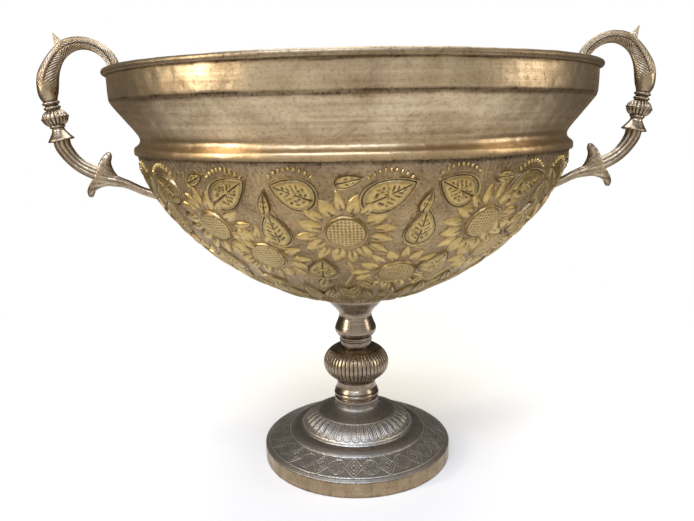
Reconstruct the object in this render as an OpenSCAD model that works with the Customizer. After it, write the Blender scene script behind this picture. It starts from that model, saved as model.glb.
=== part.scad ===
// Two-handled presentation cup: a spun and chased bowl on a turned stem and a
// spun foot, with two cast handles. Millimetres, +Z up, origin at the bottom
// centre of the foot. The handles lie in the XZ plane.

/* [Cup] */
// Height from the table to the top of the rolled rim
cup_h = 345; // [285:1:430]
// Diameter over the rolled rim
rim_d = 399; // [330:1:490]
// Thickness of the spun sheet
sheet = 1.4; // [1:0.1:2]
// Radius of the rolled rim's section
bead_r = 2.4; // [2.3:0.1:4]

/* [Upper wall] */
// Rim top down to the crease under the upright band
crease_drop = 24; // [21:0.5:30]
// Rim top down to the narrowest part of the waist
waist_drop = 53.5; // [45:0.5:66]
// Height of the shoulder, from the seam up to the waist
shoulder_h = 11; // [8:0.5:14]
// How far the waist is in from the rim's outer edge
waist_in = 24.5; // [20:0.5:32]
// How far the shoulder is in from the rim's outer edge
shoulder_in = 19.5; // [17:0.5:25]
// How much the shoulder laps down over the bowl's top edge
seam_lap = 4; // [3:0.5:6]

/* [Bowl] */
// Fullness of the bowl's curve, where 2 is an ellipse
bowl_fullness = 1.66; // [1.5:0.01:1.9]
// Radius of the flat that sits on the stem
seat_r = 24; // [20:0.5:28]

/* [Stem] */
// Height of the boss under the bowl
boss_h = 14; // [9:0.5:17]
// Radius of the boss where it meets the bowl
boss_r = 26; // [22:0.5:30]
// Height of the upper stem with its small knop
upper_stem_h = 25; // [21:0.5:31]
// Widest radius of the small knop
small_knop_r = 18.7; // [16:0.1:23]
// Height of the joint ring under the upper stem
joint_ring_h = 3.5; // [2.5:0.1:5]
// Height of the main knop
main_knop_h = 35.5; // [29:0.5:43]
// Widest radius of the main knop
main_knop_r = 29.7; // [25:0.1:36]
// Height of the plain lower stem
lower_stem_h = 7; // [5:0.5:10]
// Radius of the plain lower stem
lower_stem_r = 17.6; // [15:0.1:21]
// Height of the beaded collar on the foot
collar_h = 13; // [11:0.5:16]
// Widest radius of the beaded collar
collar_r = 20.5; // [17:0.1:25]

/* [Foot] */
// Height of the foot
foot_h = 51.5; // [43:0.5:62]
// Diameter of the foot
foot_d = 170; // [140:1:205]
// Height of the foot's upright rim
foot_rim_h = 13.6; // [11:0.2:17]

/* [Fixings] */
// Diameter of the tie rod
rod_d = 8; // [6:0.5:10]
// Diameter of the stud through each handle's turned pieces
stud_d = 4; // [3:0.5:5]
// Diameter of the threaded shank that holds each handle's tail
shank_d = 5; // [4:0.5:6]
// Radial clearance around rods, studs and shanks
bore_gap = 0.15; // [0.05:0.05:0.3]
// Clearance between a spigot and its recess
spigot_gap = 0.1; // [0.05:0.05:0.2]

/* [Handles] */
// Radius of the melon knop on each handle
melon_r = 10.5; // [8.5:0.1:13]
// Radius of the bell's lip on each handle
bell_r = 10.6; // [9:0.1:13]
// Lean of the turned pieces' axis towards the cup, in degrees
stack_lean = 10.5; // [6:0.5:13]
// Thickness of the leaf collar across the handle
leaf_t = 10; // [7:0.5:13]
// Rim top down to where the tail meets the bowl
tail_drop = 104; // [98:1:112]

/* [Hidden] */

$fn = 96;
plate = "#a29a8c";
brass = "#b39a62";
cast_silver = "#b9b2a4";
steel = "#8d9094";

rim_r = rim_d / 2;
bead_z = cup_h - bead_r;
inner_r = rim_r - 2 * bead_r;
band_r = inner_r + sheet;
bead_centre_r = rim_r - bead_r;
wire_gap = 0.1;
wire_r = bead_r - sheet - wire_gap;
waist_r = rim_r - waist_in;
shoulder_r = rim_r - shoulder_in;
waist_z = cup_h - waist_drop;
seam_z = waist_z - shoulder_h;
crease_z = cup_h - crease_drop;

// Stem and foot, stacked from the table up
collar_z = foot_h;
lower_stem_z = collar_z + collar_h;
main_knop_z = lower_stem_z + lower_stem_h;
joint_ring_z = main_knop_z + main_knop_h;
upper_stem_z = joint_ring_z + joint_ring_h;
boss_z = upper_stem_z + upper_stem_h;
seat_z = boss_z + boss_h;
foot_r = foot_d / 2;
foot_sheet = 1.8;
rod_r = rod_d / 2;
spigot_h = 2;
spigot_r = rod_r + 4.5;

// The bowl is a superellipse in section; its widest level is a little above the seam
bowl_lip_r = shoulder_r - sheet - spigot_gap;
widest_z = seam_z + 7;
seat_share = pow(1 - pow(seat_r / bowl_lip_r, bowl_fullness), 1 / bowl_fullness);
bowl_drop = (widest_z - seat_z) / seat_share;
function bowl_r(z) = bowl_lip_r
    * pow(1 - pow((widest_z - z) / bowl_drop, bowl_fullness), 1 / bowl_fullness);

// One quarter of the bowl's section, inset by a thickness, from the seat up to the seam
bowl_steps = 22;
bowl_from = asin(pow(seat_r / bowl_lip_r, bowl_fullness / 2));
bowl_to = acos(pow((widest_z - seam_z) / bowl_drop, bowl_fullness / 2));
function bowl_curve(inset) = [for (i = [0:bowl_steps])
    let (t = bowl_from + (bowl_to - bowl_from) * i / bowl_steps)
    [(bowl_lip_r - inset) * pow(sin(t), 2 / bowl_fullness),
     widest_z - (bowl_drop - inset) * pow(cos(t), 2 / bowl_fullness)]];
function flip(points) = [for (i = [len(points) - 1:-1:0]) points[i]];

module turned(points) {
    rotate_extrude() polygon(points);
}

module bore(r, z, h) {
    translate([0, 0, z - 1]) cylinder(r = r, h = h + 2);
}

// ---- bowl and upper wall ----

// Where each handle's tail meets the bowl, and the bowl's outward normal there
tail_z = cup_h - tail_drop;
tail_r = bowl_r(tail_z);
normal_x = pow(tail_r, bowl_fullness - 1) / pow(bowl_lip_r, bowl_fullness);
normal_z = pow(widest_z - tail_z, bowl_fullness - 1) / pow(bowl_drop, bowl_fullness);
tail_tilt = atan(normal_z / normal_x);

module at_tail() {
    translate([tail_r, 0, tail_z]) rotate([0, 90 + tail_tilt, 0]) children();
}

module both_sides() {
    children();
    mirror([1, 0, 0]) children();
}

module bowl_blank(grow) {
    turned(concat([[0, seat_z - grow]], bowl_curve(-grow), [[0, seam_z]]));
}

module bowl() {
    lip_top = seam_z + seam_lap;
    outer = bowl_curve(0);
    inner = bowl_curve(sheet);
    color(brass) difference() {
        turned(concat([[0, seat_z]], outer, [[bowl_lip_r, lip_top], [bowl_lip_r - sheet, lip_top]],
            flip(inner), [[0, inner[0][1]]]));
        bore(rod_r + bore_gap, seat_z, 2 * sheet);
        both_sides() at_tail() translate([0, 0, -10]) cylinder(d = shank_d + 2 * bore_gap, h = 20);
    }
}

// The upper wall's outer line, inset by a thickness, from the shoulder to the rim
function wall_line(inset) = [
    [shoulder_r - inset, seam_z + seam_lap],
    [shoulder_r - 0.7 - inset, seam_z + seam_lap + (shoulder_h - seam_lap) * 0.22],
    [waist_r + 2 - inset, seam_z + seam_lap + (shoulder_h - seam_lap) * 0.45],
    [waist_r + 0.4 - inset, seam_z + seam_lap + (shoulder_h - seam_lap) * 0.75],
    [waist_r - inset, waist_z],
    [waist_r + 0.6 - inset, waist_z + 2.4],
    [waist_r + 2.6 - inset * 0.9, waist_z + 5.6],
    [band_r - 3.4 - inset * 0.8, crease_z - 4.4],
    [band_r - 1 - inset * 0.9, crease_z - 1.2],
    [band_r - 0.2 - inset, crease_z + 2],
    [band_r - inset, crease_z + 6],
    [band_r - inset, bead_z]];

module upper_wall() {
    slit = 0.4;
    color(plate) difference() {
        union() {
            turned(concat([[shoulder_r - sheet, seam_z], [shoulder_r - 0.4, seam_z],
                [shoulder_r, seam_z + 1.2]], wall_line(0), flip(wall_line(sheet))));
            rotate_extrude() translate([bead_centre_r, bead_z]) circle(bead_r);
        }
        rotate_extrude() translate([bead_centre_r, bead_z]) circle(bead_r - sheet);
        rotate_extrude() translate([band_r + 0.3, bead_z - 2 * bead_r]) square([slit, 2 * bead_r]);
        both_sides() translate([inner_r - 2, 0, rivet_z]) rotate([0, 90, 0])
            cylinder(r = rivet_r + bore_gap, h = sheet + 4);
    }
}

module rim_wire() {
    color(steel) rotate_extrude() translate([bead_centre_r, bead_z]) circle(wire_r);
}

// ---- stem ----

// A turned piece with a bore for the rod, a spigot on top and a recess below
module stem_piece(points, z, h, has_spigot = true, has_recess = true) {
    difference() {
        union() {
            turned(concat([[0, z]], points, [[0, z + h]]));
            if (has_spigot)
                translate([0, 0, z]) cylinder(r = spigot_r, h = h + spigot_h);
        }
        bore(rod_r + bore_gap, z, h + spigot_h);
        if (has_recess)
            translate([0, 0, z - 1]) cylinder(r = spigot_r + spigot_gap, h = 1 + spigot_h + spigot_gap);
    }
}

// Points of a bulge: radius r at mid height, ends in by the shares given
function bulge(r, z, h, low, high, steps = 10) = [for (i = [0:steps])
    let (t = -low + (low + high) * i / steps)
    [r * pow(cos(t), 0.9), z + h * (sin(t) + sin(low)) / (sin(high) + sin(low))]];

module bowl_boss() {
    throat = small_knop_r * 0.83;
    step = (boss_r - throat) / 5;
    color(brass) stem_piece([
        [throat, boss_z],
        [throat + 1.5 * step, boss_z + boss_h * 0.28],
        [throat + 3.3 * step, boss_z + boss_h * 0.56],
        [throat + 4.5 * step, boss_z + boss_h * 0.82],
        [boss_r, seat_z]], boss_z, boss_h, has_spigot = false);
}

module upper_stem() {
    z = upper_stem_z;
    h = upper_stem_h;
    neck = small_knop_r * 0.78;
    color(brass) stem_piece([
        [neck - 0.4, z],
        [neck - 0.2, z + h * 0.05],
        [small_knop_r * 0.9, z + h * 0.16],
        [small_knop_r * 0.98, z + h * 0.26],
        [small_knop_r, z + h * 0.37],
        [small_knop_r * 0.97, z + h * 0.46],
        [small_knop_r * 0.88, z + h * 0.62],
        [neck + 0.4, z + h * 0.78],
        [neck, z + h * 0.86],
        [neck + 0.2, z + h * 0.93],
        [small_knop_r * 0.83, z + h]], z, h);
}

module joint_ring() {
    r = small_knop_r * 0.78;
    z = joint_ring_z;
    h = joint_ring_h;
    color(plate) stem_piece([
        [r - 0.8, z],
        [r - 0.1, z + h * 0.15],
        [r - 0.1, z + h * 0.35],
        [r - 1.1, z + h * 0.5],
        [r, z + h * 0.65],
        [r, z + h * 0.85],
        [r - 0.9, z + h]], z, h);
}

module main_knop() {
    foot_share = 0.05;
    neck_share = 0.1;
    body_h = main_knop_h * (1 - foot_share - neck_share);
    body_z = main_knop_z + main_knop_h * foot_share;
    neck = small_knop_r * 0.73;
    color(brass) stem_piece(concat(
        [[lower_stem_r + 1, main_knop_z]],
        bulge(main_knop_r, body_z, body_h, 50, 60, 14),
        [[neck, body_z + body_h], [neck, main_knop_z + main_knop_h]]),
        main_knop_z, main_knop_h);
}

module lower_stem() {
    z = lower_stem_z;
    h = lower_stem_h;
    color(brass) stem_piece([
        [lower_stem_r + 0.3, z],
        [lower_stem_r, z + h * 0.2],
        [lower_stem_r, z + h * 0.75],
        [lower_stem_r + 1, z + h]], z, h);
}

module foot_collar() {
    z = collar_z;
    h = collar_h;
    color(brass) stem_piece(concat(
        [[collar_r - 1.4, z], [collar_r - 0.6, z + h * 0.06], [collar_r - 0.6, z + h * 0.22],
         [collar_r - 1.5, z + h * 0.28]],
        bulge(collar_r, z + h * 0.3, h * 0.4, 24, 24, 6),
        [[collar_r - 1.5, z + h * 0.72], [collar_r - 0.9, z + h * 0.78],
         [lower_stem_r + 0.8, z + h * 0.94], [lower_stem_r + 0.3, z + h]]),
        z, h);
}

// ---- foot ----

foot_neck_r = collar_r - 1.9;
cone_r = foot_r * 0.41;
tongue_r = foot_r * 0.595;
step_r = foot_r * 0.73;
border_r = foot_r - 2.5;

// The foot's outer line from the rim in to the neck
function foot_line() = [
    [foot_r - 0.4, foot_rim_h + 0.4],
    [border_r, foot_rim_h + 1.8],
    [step_r, foot_h * 0.47],
    [step_r - 0.6, foot_h * 0.49],
    [step_r - 4, foot_h * 0.525],
    [tongue_r + 1, foot_h * 0.55],
    [tongue_r, foot_h * 0.575],
    [tongue_r - 3, foot_h * 0.63],
    [(tongue_r + cone_r) / 2, foot_h * 0.71],
    [cone_r, foot_h * 0.79],
    [cone_r - 4, foot_h * 0.82],
    [foot_neck_r + 5, foot_h * 0.86],
    [foot_neck_r + 1.4, foot_h * 0.9],
    [foot_neck_r, foot_h * 0.95],
    [foot_neck_r, foot_h]];

module foot_dome() {
    hub_z = foot_h - 9;
    hub_r = foot_neck_r - 1.6;
    color(plate) difference() {
        union() {
            turned(concat([[foot_r - 4.4, foot_rim_h]], [[foot_r, foot_rim_h]], foot_line(),
                [[0, foot_h], [0, hub_z], [hub_r, hub_z]],
                [[cone_r - 3, foot_h * 0.79 - foot_sheet - 0.6],
                 [(tongue_r + cone_r) / 2 - 1.2, foot_h * 0.71 - foot_sheet],
                 [tongue_r - 1.2, foot_h * 0.575 - foot_sheet - 0.6],
                 [step_r - 1.6, foot_h * 0.47 - foot_sheet]]));
            translate([0, 0, hub_z]) cylinder(r = spigot_r, h = foot_h + spigot_h - hub_z);
        }
        bore(rod_r + bore_gap, hub_z, foot_h);
    }
}

module foot_rim() {
    wall = 3;
    ledge = 4.4;
    round = 0.8;
    color(brass) turned([
        [foot_r - wall, 0], [foot_r - round, 0], [foot_r, round],
        [foot_r, foot_rim_h], [foot_r - ledge, foot_rim_h],
        [foot_r - ledge, foot_rim_h - 1.6], [foot_r - wall, foot_rim_h - 3.2]]);
}

// ---- tie rod with its nuts and washers ----

rod_washer_h = 2;
rod_nut_h = rod_r * 1.6;
rod_nut_r = rod_r * 1.87;
rod_low_z = foot_h - 9;
bowl_floor_z = bowl_curve(sheet)[0][1];

module washer(z, outer_r, inner_r, h) {
    difference() {
        translate([0, 0, z]) cylinder(r = outer_r, h = h);
        bore(inner_r, z, h);
    }
}

module hex_nut(z, outer_r, hole_r, h) {
    difference() {
        translate([0, 0, z]) cylinder(r = outer_r, h = h, $fn = 6);
        bore(hole_r, z, h);
    }
}

module tie_rod() {
    low = rod_low_z - rod_washer_h - rod_nut_h - 2;
    high = bowl_floor_z + rod_washer_h + rod_nut_h + 2;
    color(steel) translate([0, 0, low]) cylinder(r = rod_r, h = high - low);
}

module bowl_washer() {
    color(steel) washer(bowl_floor_z, seat_r * 0.75, rod_r + bore_gap, rod_washer_h);
}

module bowl_nut() {
    color(steel) hex_nut(bowl_floor_z + rod_washer_h, rod_nut_r, rod_r, rod_nut_h);
}

module foot_washer() {
    color(steel) washer(rod_low_z - rod_washer_h, foot_neck_r - 2.6, rod_r + bore_gap, rod_washer_h);
}

module foot_nut() {
    color(steel) hex_nut(rod_low_z - rod_washer_h - rod_nut_h, rod_nut_r, rod_r, rod_nut_h);
}

// ---- handles: right-hand pieces, measured from the rim's outer top edge ----

module at_rim() {
    translate([rim_r, 0, cup_h]) children();
}

// A tube with an oval section swept along points in the XZ plane
function tangent(path, i) =
    let (a = path[max(i - 1, 0)], b = path[min(i + 1, len(path) - 1)], d = b - a)
    d / norm(d);
function ring_points(path, radii, wide, sides) = [for (i = [0:len(path) - 1])
    let (t = tangent(path, i))
    for (k = [0:sides - 1])
    let (a = 360 * k / sides, u = radii[i] * cos(a), v = radii[i] * wide * sin(a))
    [path[i][0] - t[1] * u, v, path[i][1] + t[0] * u]];
function ring_faces(rings, sides) = concat(
    [[for (k = [sides - 1:-1:0]) k]],
    [[for (k = [0:sides - 1]) (rings - 1) * sides + k]],
    [for (i = [0:rings - 2], k = [0:sides - 1])
        let (a = i * sides + k, b = i * sides + (k + 1) % sides)
        [a, b, b + sides]],
    [for (i = [0:rings - 2], k = [0:sides - 1])
        let (a = i * sides + k, b = i * sides + (k + 1) % sides)
        [a, b + sides, a + sides]]);

module sweep(path, radii, wide = 1, sides = 14) {
    polyhedron(ring_points(path, radii, wide, sides), ring_faces(len(path), sides));
}

// The turned pieces' shared axis starts at the scroll's end and leans in as it goes down
stack_top = [52.3, -21];
function stack_point(s) = stack_top - s * [sin(stack_lean), cos(stack_lean)];

// The scroll's middle line from the rim over the arch to the turned pieces
scroll_path = [[-2.6, 2], [-1.6, 8], [0.4, 12.6], [3.8, 16.8], [9, 20.8], [16.5, 24], [25, 24.8],
    [34.5, 22.3], [42.3, 16], [48.2, 7.5], [52, -1.4], [53.2, -10], stack_point(-5), stack_point(0)];
scroll_radii = [5, 4.8, 4.7, 4.6, 4.6, 4.8, 5.2, 6, 6.2, 7.2, 8.5, 8.6, 7.9, 6];
spur_path = [[37, 18], [40.6, 24.6], [43, 29.4], [45.4, 33.6]];
spur_radii = [4.6, 3.6, 2, 0.4];
stud_r = stud_d / 2;
stud_bite = 10;
rivet_r = 1.5;
rivet_z = cup_h - 12;
lug_w = 13;
lug_t = 3.8;
lug_gap = 0.3;

// The turned pieces' frame: Z runs down their shared axis from the scroll's end
module at_stack() {
    translate([stack_top[0], 0, stack_top[1]]) rotate([0, 180 + stack_lean, 0]) children();
}

module bead_space() {
    translate([-rim_r, 0, -bead_r]) rotate_extrude()
        translate([bead_centre_r, 0]) circle(bead_r + spigot_gap);
}

module scroll() {
    lug_face = inner_r - rim_r - lug_gap;
    color(cast_silver) at_rim() difference() {
        union() {
            sweep(scroll_path, scroll_radii, 0.9);
            sweep(spur_path, spur_radii, 0.7, 8);
            translate([lug_face - lug_t, -lug_w / 2, -bead_r])
                cube([lug_t - lug_face - bead_r + 1, lug_w, bead_r + 4]);
            translate([lug_face - lug_t, -lug_w / 2, -18]) cube([lug_t, lug_w, 18]);
        }
        bead_space();
        translate([lug_face - lug_t - 1, 0, rivet_z - cup_h]) rotate([0, 90, 0])
            cylinder(r = rivet_r + bore_gap, h = lug_t + 2);
        at_stack() translate([0, 0, -stud_bite]) cylinder(r = stud_r + bore_gap, h = stud_bite + 4);
    }
}

// Lengths along the shared axis of the turned pieces, and where each begins
ring_collar_l = 8;
melon_l = 12.5;
bell_l = 12.9;
melon_s = ring_collar_l;
bell_s = melon_s + melon_l;
bell_web = 4;
arm_s = bell_s + bell_web;

module stack_piece(points, s, l) {
    at_rim() at_stack() difference() {
        turned(concat([[0, s]], points, [[0, s + l]]));
        bore(stud_r + bore_gap, s, l);
    }
}

module ring_collar() {
    color(cast_silver) stack_piece([
        [5.8, 0], [5.6, 0.8], [6.8, 1.2], [6.8, 2.9], [5.5, 3.4], [5.3, 4.6],
        [6.6, 5.1], [6.6, 6.8], [5.6, 7.4], [5.6, ring_collar_l]], 0, ring_collar_l);
}

module melon_knop() {
    color(cast_silver) stack_piece(concat([[5.6, melon_s]],
        bulge(melon_r, melon_s + 0.4, melon_l - 0.8, 52, 56, 10),
        [[5.2, melon_s + melon_l]]), melon_s, melon_l);
}

module bell() {
    flare = bell_r - 5;
    color(cast_silver) at_rim() at_stack() difference() {
        turned([[0, bell_s], [5.2, bell_s], [6.2, bell_s + 0.4], [6.2, bell_s + 1.7],
            [5, bell_s + 2.4], [5.2, bell_s + 4.4], [5 + flare * 0.35, bell_s + 7.4],
            [5 + flare * 0.72, bell_s + 10.2], [bell_r, bell_s + bell_l - 1],
            [bell_r - 0.3, bell_s + bell_l], [bell_r - 1.6, bell_s + bell_l],
            [5 + flare * 0.5, bell_s + 10.4], [arm_seat_r, bell_s + 6.4],
            [arm_seat_r, arm_s], [0, arm_s]]);
        bore(stud_r + bore_gap, bell_s, bell_l);
    }
}

// The arm leaves the bell along the turned pieces' axis and curves in to the leaf collar
arm_seat_r = 4.4;
arm_end = [20.4, -81.7];
arm_end_r = 5.6;
arm_turn = 25;
arm_back = [cos(arm_turn), sin(arm_turn)];
arm_side = [-sin(arm_turn), cos(arm_turn)];
arm_path = [stack_point(arm_s + 5), stack_point(arm_s + 9), stack_point(arm_s + 13), [42, -64.4],
    [37.2, -70.6], [31.4, -75.8], arm_end + 6 * arm_back, arm_end];
arm_radii = [6.2, 6.5, 6.4, 6, 5.6, 5.4, 5.4, arm_end_r];
peg_r = 2.6;
peg_l = 7;

module at_arm_end() {
    translate([arm_end[0], 0, arm_end[1]]) rotate([0, -90 - arm_turn, 0]) children();
}

module arm() {
    color(cast_silver) at_rim() difference() {
        union() {
            sweep(arm_path, arm_radii, 0.95);
            at_stack() translate([0, 0, arm_s]) cylinder(r = arm_seat_r - spigot_gap, h = 8);
            at_arm_end() translate([0, 0, -4]) cylinder(r = peg_r, h = peg_l + 4);
        }
        at_stack() translate([0, 0, arm_s - 1]) cylinder(r = stud_r + bore_gap, h = stud_bite + 1);
    }
}

// Two leaves that curl back from the arm, in one piece with the tail
leaf_outline = [arm_end - (arm_end_r + 0.2) * arm_side, [27.2, -93.1], [28.8, -97.9], [27.4, -101.9], [24.4, -102.2],
    [22.8, -97.9], [18.6, -94.9], [13, -93.2], [5, -92.9], [-2.3, -94],
    [-2.9, -87.1], [2.2, -83.4], [5.2, -78.8], [6.6, -73], [5.6, -66.8], [6.8, -64.3],
    [9.8, -64.6], [13.4, -67.8], [16.2, -72], arm_end + (arm_end_r + 0.2) * arm_side];

module leaf_collar() {
    tail_end = [tail_r - rim_r - 4, tail_z - cup_h - 1];
    tail_start = [-2.6, -90.6];
    tail_mid = (tail_start + tail_end) / 2 + [1, -1];
    color(cast_silver) difference() {
        union() {
            at_rim() rotate([90, 0, 0]) linear_extrude(leaf_t, center = true) polygon(leaf_outline);
            at_rim() sweep([[5, -88.5], tail_start, tail_mid, tail_end], [5, 4, 3.4, 4.2], 0.95);
            at_tail() translate([0, 0, -7]) cylinder(d = shank_d, h = 9);
        }
        difference() {
            bowl_blank(0);
            at_tail() translate([0, 0, -20]) cylinder(d = shank_d, h = 22);
        }
        at_rim() at_arm_end() translate([0, 0, -1]) cylinder(r = peg_r + spigot_gap, h = peg_l + 1.5);
    }
}

module stud() {
    length = stud_bite + arm_s + stud_bite - 2;
    color(steel) at_rim() at_stack() translate([0, 0, 1 - stud_bite]) cylinder(r = stud_r, h = length);
}

module rim_rivet() {
    head_r = 3.2;
    head_h = 1.4;
    inner_x = inner_r - lug_gap - lug_t;
    color(brass) translate([0, 0, rivet_z]) rotate([0, 90, 0]) {
        translate([0, 0, inner_x - head_h]) cylinder(r1 = head_r - 1, r2 = head_r, h = head_h);
        translate([0, 0, inner_x]) cylinder(r = rivet_r, h = band_r - inner_x);
        translate([0, 0, band_r]) cylinder(r1 = head_r - 0.6, r2 = head_r - 1.4, h = 0.6);
    }
}

tail_washer_r = 6;
tail_washer_h = 1;
// The wall curves both ways under the flat washer, and this keeps the washer's edge clear of it
dish_gap = pow(tail_washer_r, 2) / tail_r;

module tail_washer() {
    z = -sheet - dish_gap - tail_washer_h;
    color(steel) at_tail() washer(z, tail_washer_r, shank_d / 2 + bore_gap, tail_washer_h);
}

module tail_nut() {
    z = -sheet - dish_gap - tail_washer_h;
    h = 3.6;
    color(steel) at_tail() hex_nut(z - h, shank_d * 0.9, shank_d / 2, h);
}

bowl();
upper_wall();
rim_wire();
bowl_boss();
upper_stem();
joint_ring();
main_knop();
lower_stem();
foot_collar();
foot_dome();
foot_rim();
tie_rod();
bowl_washer();
bowl_nut();
foot_washer();
foot_nut();
mirror([1, 0, 0]) scroll();  // left_scroll
mirror([1, 0, 0]) ring_collar();  // left_ring_collar
mirror([1, 0, 0]) melon_knop();  // left_melon_knop
mirror([1, 0, 0]) bell();  // left_bell
mirror([1, 0, 0]) arm();  // left_arm
mirror([1, 0, 0]) leaf_collar();  // left_leaf_collar
mirror([1, 0, 0]) stud();  // left_stud
mirror([1, 0, 0]) rim_rivet();  // left_rim_rivet
mirror([1, 0, 0]) tail_washer();  // left_tail_washer
mirror([1, 0, 0]) tail_nut();  // left_tail_nut
scroll();  // right_scroll
ring_collar();  // right_ring_collar
melon_knop();  // right_melon_knop
bell();  // right_bell
arm();  // right_arm
leaf_collar();  // right_leaf_collar
stud();  // right_stud
rim_rivet();  // right_rim_rivet
tail_washer();  // right_tail_washer
tail_nut();  // right_tail_nut
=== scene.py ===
# %% [markdown]
# # A two-handled prize cup, finished in Blender
# The cup is an old silver-plated brass presentation cup: a wide bowl chased with sunflowers, a
# tall neck with a rolled rim, a turned stem on an engraved foot, and two cast handles. The packed
# model holds every piece at its true size and place, so each lesson below takes one piece, looks
# at how a silversmith made it, and gives it a mesh or a finish as good as the real one.

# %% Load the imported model
from math import acos, asin, cos, pi, radians, sin

import bmesh
import bpy
import numpy as np
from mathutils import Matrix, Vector


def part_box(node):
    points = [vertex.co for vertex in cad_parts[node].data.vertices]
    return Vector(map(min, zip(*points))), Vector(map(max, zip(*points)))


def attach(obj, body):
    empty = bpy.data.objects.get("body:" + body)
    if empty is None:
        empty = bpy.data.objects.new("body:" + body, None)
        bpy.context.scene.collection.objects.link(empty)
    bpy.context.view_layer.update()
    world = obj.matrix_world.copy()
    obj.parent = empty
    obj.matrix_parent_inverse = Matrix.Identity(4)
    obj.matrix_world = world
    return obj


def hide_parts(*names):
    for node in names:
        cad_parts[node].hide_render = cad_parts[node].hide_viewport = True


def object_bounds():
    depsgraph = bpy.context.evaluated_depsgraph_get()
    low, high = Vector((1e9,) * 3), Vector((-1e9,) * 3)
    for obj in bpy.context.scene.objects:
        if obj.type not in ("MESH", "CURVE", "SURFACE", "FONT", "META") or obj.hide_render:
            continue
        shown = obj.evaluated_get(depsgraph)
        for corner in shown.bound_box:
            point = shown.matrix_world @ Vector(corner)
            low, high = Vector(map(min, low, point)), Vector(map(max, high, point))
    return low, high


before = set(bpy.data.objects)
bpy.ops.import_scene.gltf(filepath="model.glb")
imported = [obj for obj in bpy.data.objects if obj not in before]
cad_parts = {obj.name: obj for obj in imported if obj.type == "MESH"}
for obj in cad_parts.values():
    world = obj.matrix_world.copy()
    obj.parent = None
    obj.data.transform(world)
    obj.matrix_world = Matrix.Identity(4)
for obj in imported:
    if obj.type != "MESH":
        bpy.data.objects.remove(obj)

cad_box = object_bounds()
MM = 0.001
print("the whole cup is", [round(side / MM, 1) for side in cad_box[1] - cad_box[0]], "mm")

# %% [markdown]
# ## Camera
# The cup is seen from a little above the rim and nearly square on, from close by, so that the
# rim's near edge bows and the foot shows its top. A lens of 35 mm at a little over half a metre
# gives that. The camera turns by 2.4 degrees and leans by one,
# because the cup was not set down quite square and the camera was held by hand.

# %% Camera
lens_mm = 34.76
camera_at = (-0.0311, -0.5825, 0.3072)
look_down = 11.32
turned_by = 2.41
leaning = -0.99
camera_data = bpy.data.cameras.new("camera")
camera_data.lens = lens_mm
camera_data.sensor_width = 36
camera_data.shift_y = -0.0144
camera_data.clip_start = 0.01
camera = bpy.data.objects.new("camera", camera_data)
camera.location = camera_at
camera.rotation_mode = "XYZ"
tilt = Vector((radians(90 - look_down), 0, radians(-turned_by)))
camera.rotation_euler = tilt
camera.rotation_euler.rotate_axis("Z", radians(leaning))
bpy.context.scene.collection.objects.link(camera)
bpy.context.scene.camera = camera
bpy.context.scene.view_settings.view_transform = "Standard"
print("camera", round((camera.location - Vector((0, 0, 0.19))).length, 3), "m from the cup")

# %% [markdown]
# ## Two small helpers
# Colours are written the way a paint chart gives them, as sRGB hex, and shaders want linear
# light, so one function turns one into the other. A second one adds a node to a shader, sets its
# inputs and makes its links, so that a material further down reads as a list of what feeds what.

# %% Colour and node helpers
def linear(hex_colour):
    """A hex colour such as #c8a060 as linear red, green, blue and an alpha of 1."""
    channels = [int(hex_colour[i:i + 2], 16) / 255 for i in (1, 3, 5)]
    return [c / 12.92 if c <= 0.04045 else ((c + 0.055) / 1.055) ** 2.4 for c in channels] + [1]


def add(tree, kind, inputs=None, **settings):
    """Adds a node. An input that is another node's output is linked, and any other value is set."""
    node = tree.nodes.new("ShaderNode" + kind)
    for name, value in settings.items():
        setattr(node, name, value)
    for name, value in (inputs or {}).items():
        if isinstance(value, bpy.types.NodeSocket):
            tree.links.new(value, node.inputs[name])
        else:
            node.inputs[name].default_value = value
    return node


# %% [markdown]
# ## Floor
# A pale floor catches the soft shadow. It is a disc that thins out towards its edge into the
# white of the room, so that no horizon shows, as with the paper sweep in a small studio.

# %% Floor
def floor_paint(clear_from, clear_by):
    """Matt white paper that thins out between two distances from the cup, in metres."""
    paint = bpy.data.materials.new("paper_sweep")
    paint.use_nodes = True
    tree = paint.node_tree
    tree.nodes.clear()
    place = add(tree, "TexCoord").outputs["Object"]
    far = add(tree, "VectorMath", {0: place}, operation="LENGTH").outputs["Value"]
    fade = add(tree, "MapRange", {"Value": far, "From Min": clear_from, "From Max": clear_by},
               interpolation_type="SMOOTHSTEP").outputs["Result"]
    diffuse = add(tree, "BsdfDiffuse", {"Color": linear("#e2e0dc")}).outputs[0]
    lit = add(tree, "Emission", {"Color": linear("#fbfaf7"), "Strength": 0.18}).outputs[0]
    paper = add(tree, "AddShader", {0: diffuse, 1: lit}).outputs[0]
    clear = add(tree, "BsdfTransparent").outputs[0]
    mixed = add(tree, "MixShader", {0: fade, 1: paper, 2: clear}).outputs[0]
    add(tree, "OutputMaterial", {"Surface": mixed})
    return paint


floor_mesh = bpy.data.meshes.new("floor")
floor_form = bmesh.new()
bmesh.ops.create_circle(floor_form, cap_ends=True, segments=96, radius=1.3)
floor_form.to_mesh(floor_mesh)
floor_form.free()
floor = bpy.data.objects.new("floor", floor_mesh)
floor_gap = 0.0002
floor.location.z = cad_box[0].z - floor_gap
floor_mesh.materials.append(floor_paint(0.22, 0.75))
bpy.context.scene.collection.objects.link(floor)

# %% [markdown]
# ## Light
# Bare metal shows mostly what it mirrors. A wide cool panel above and in front of the cup stands
# for a window or the sky, and gives the pale streaks on the shoulder and the foot. A warm panel
# low on the left and a slim one on the right draw the bright edges, and the room itself is
# brighter behind the camera and dim at the sides, which leaves the cup's flanks dark brown.

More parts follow.
